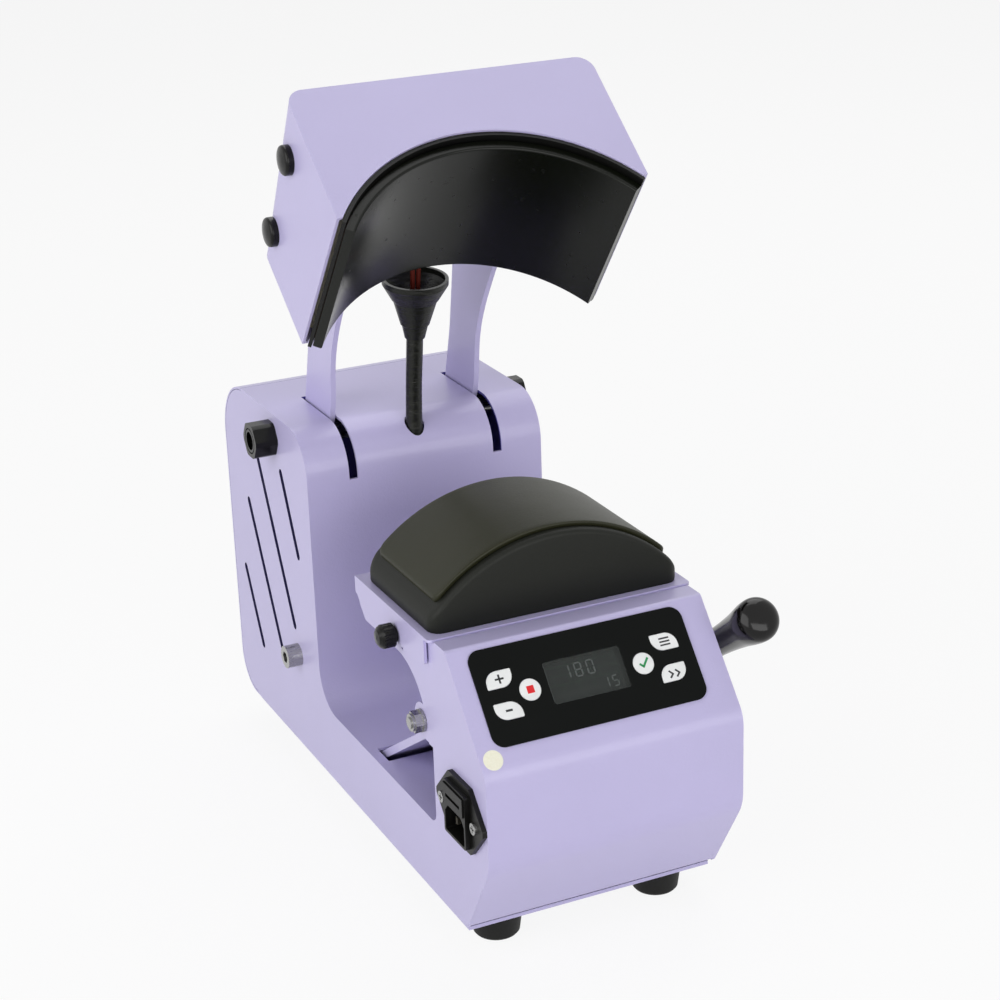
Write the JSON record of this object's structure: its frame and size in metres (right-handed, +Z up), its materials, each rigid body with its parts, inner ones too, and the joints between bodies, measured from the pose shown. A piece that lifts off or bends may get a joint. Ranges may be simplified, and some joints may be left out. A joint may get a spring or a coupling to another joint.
{
  "type": "cap heat press",
  "caption": "Cap heat press: curved platen head on hinged arms, lowered onto a crowned pad by a side handle and links; C-shaped sheet-metal body with slanted display and keys",
  "frame": {"origin": "on the floor plane, at the middle of the part's bounding box in X and Y", "axes": "+Z up, +X to the right as seen from the display side, the display side faces -Y, +Y towards the tower"},
  "size_m": [0.1855, 0.3602, 0.4115],
  "materials": {
    "powder_coat": "satin lavender powder coat",
    "rubber_black": "matt black rubber",
    "pad_foam": "black silicone foam",
    "pad_silicone": "olive-grey silicone skin",
    "steel": "bright zinc-plated steel",
    "galvanised": "plain galvanised sheet",
    "black_steel": "black heat-proof paint",
    "nonstick": "satin black non-stick coat",
    "mat": "rust-red silicone heater mat",
    "wool": "pale glass-fibre felt",
    "ceramic": "off-white glazed ceramic",
    "black_plastic": "black moulded nylon",
    "grip": "glossy black phenolic",
    "hub": "black oxide steel",
    "overlay": "glossy black film",
    "lens": "smoked clear window",
    "lcd": "grey liquid-crystal module",
    "board": "green circuit board",
    "keys": "white printed film keys",
    "brass_pins": "nickel-plated brass",
    "fuse_glass": "glass fuse",
    "cable": "black cable sheath",
    "wires": "orange-red silicone wire"
  },
  "bodies": {
    "body": {"right_side_plate": "powder_coat", "left_side_plate": "powder_coat", "tower_sheet": "powder_coat", "arm_lining": "powder_coat", "keypad_overlay": "overlay", "display_lens": "lens", "front_panel": "powder_coat", "control_board": "board", "display_module": "lcd", "rear_cover": "powder_coat", "bottom_plate": "powder_coat", "rubber_feet": "rubber_black", "foot_screws": "steel", "body_screws": "steel", "pad_tray": "powder_coat", "pad_core": "pad_foam", "pad_skin": "pad_silicone", "inlet_housing": "black_plastic", "inlet_pins": "brass_pins", "inlet_screws": "steel", "hinge_shaft": "steel", "pivot_caps": "black_plastic", "lower_pivot_bolt": "steel", "heater_cable": "cable", "inner_cable": "cable", "cable_clip": "black_plastic"},
    "head": {"right_arm": "powder_coat", "left_arm": "powder_coat", "arm_hub_tube": "steel", "tail_pins": "steel", "head_cover": "powder_coat", "head_frame": "galvanised", "arm_bolts": "steel", "head_caps": "black_plastic", "heat_platen": "nonstick", "heater_mat": "mat", "backing_plate": "black_steel", "insulation_blanket": "wool", "platen_studs": "steel", "terminal_block": "ceramic", "cable_boot": "rubber_black", "heater_wires": "wires"},
    "handle": {"handle_shaft": "steel", "handle_lock_nut": "steel", "handle_hub": "hub", "handle_grip": "grip"},
    "link": {"drag_link": "powder_coat"},
    "bell": {"bell_crank": "powder_coat"},
    "lifters": {"lift_links": "powder_coat"},
    "drawer": {"fuse_drawer": "black_plastic", "fuse": "fuse_glass"},
    "thumb_left": {"thumb_screw_left": "black_plastic"},
    "thumb_right": {"thumb_screw_right": "black_plastic"},
    "key_up_body": {"key_up": "keys"},
    "key_down_body": {"key_down": "keys"},
    "key_stop_body": {"key_stop": "keys"},
    "key_enter_body": {"key_enter": "keys"},
    "key_set_body": {"key_set": "keys"},
    "key_mode_body": {"key_mode": "keys"}
  },
  "joints": [
    {"name": "arms_hinge", "type": "hinge", "parent": "body", "child": "head", "pos_m": [-0.00373, 0.0944, 0.2013], "axis": [1, 0, 0], "range_deg": [0, 52.42], "deforming": ["heater_cable"]},
    {"name": "handle_hinge", "type": "hinge", "parent": "body", "child": "handle", "pos_m": [-0.00373, -0.1061, 0.113], "axis": [1, 0, 0], "range_deg": [0, 52.42]},
    {"name": "bell_hinge", "type": "hinge", "parent": "body", "child": "bell", "pos_m": [-0.00373, 0.0734, 0.0765], "axis": [1, 0, 0], "range_deg": [0, 52.42]},
    {"name": "link_pivot", "type": "hinge", "parent": "handle", "child": "link", "pos_m": [-0.00373, -0.12169, 0.104], "axis": [1, 0, 0], "range_deg": [-52.42, 0]},
    {"name": "lifter_pivot", "type": "hinge", "parent": "head", "child": "lifters", "pos_m": [-0.00373, 0.11111, 0.18138], "axis": [1, 0, 0], "range_deg": [-52.42, 0]},
    {"name": "fuse_drawer_slide", "type": "slide", "parent": "body", "child": "drawer", "axis": [-1, 0, 0], "range_m": [0, 0.014]},
    {"name": "thumb_left_turn", "type": "hinge", "parent": "body", "child": "thumb_left", "pos_m": [-0.08173, -0.0821, 0.151], "axis": [-1, 0, 0], "continuous": true},
    {"name": "thumb_right_turn", "type": "hinge", "parent": "body", "child": "thumb_right", "pos_m": [0.07427, -0.0821, 0.151], "axis": [1, 0, 0], "continuous": true},
    {"name": "key_up_press", "type": "slide", "parent": "body", "child": "key_up_body", "axis": [0, 0.7604, -0.6494], "range_m": [0, 0.0004], "stiffness_N_per_m": 600, "springref_m": -0.0004},
    {"name": "key_down_press", "type": "slide", "parent": "body", "child": "key_down_body", "axis": [0, 0.7604, -0.6494], "range_m": [0, 0.0004], "stiffness_N_per_m": 600, "springref_m": -0.0004},
    {"name": "key_stop_press", "type": "slide", "parent": "body", "child": "key_stop_body", "axis": [0, 0.7604, -0.6494], "range_m": [0, 0.0004], "stiffness_N_per_m": 600, "springref_m": -0.0004},
    {"name": "key_enter_press", "type": "slide", "parent": "body", "child": "key_enter_body", "axis": [0, 0.7604, -0.6494], "range_m": [0, 0.0004], "stiffness_N_per_m": 600, "springref_m": -0.0004},
    {"name": "key_set_press", "type": "slide", "parent": "body", "child": "key_set_body", "axis": [0, 0.7604, -0.6494], "range_m": [0, 0.0004], "stiffness_N_per_m": 600, "springref_m": -0.0004},
    {"name": "key_mode_press", "type": "slide", "parent": "body", "child": "key_mode_body", "axis": [0, 0.7604, -0.6494], "range_m": [0, 0.0004], "stiffness_N_per_m": 600, "springref_m": -0.0004}
  ],
  "couplings": [
    {"joint": "handle_hinge", "follows": "arms_hinge", "ratio": 1},
    {"joint": "bell_hinge", "follows": "arms_hinge", "ratio": 1},
    {"joint": "link_pivot", "follows": "arms_hinge", "ratio": -1},
    {"joint": "lifter_pivot", "follows": "arms_hinge", "ratio": -1}
  ]
}
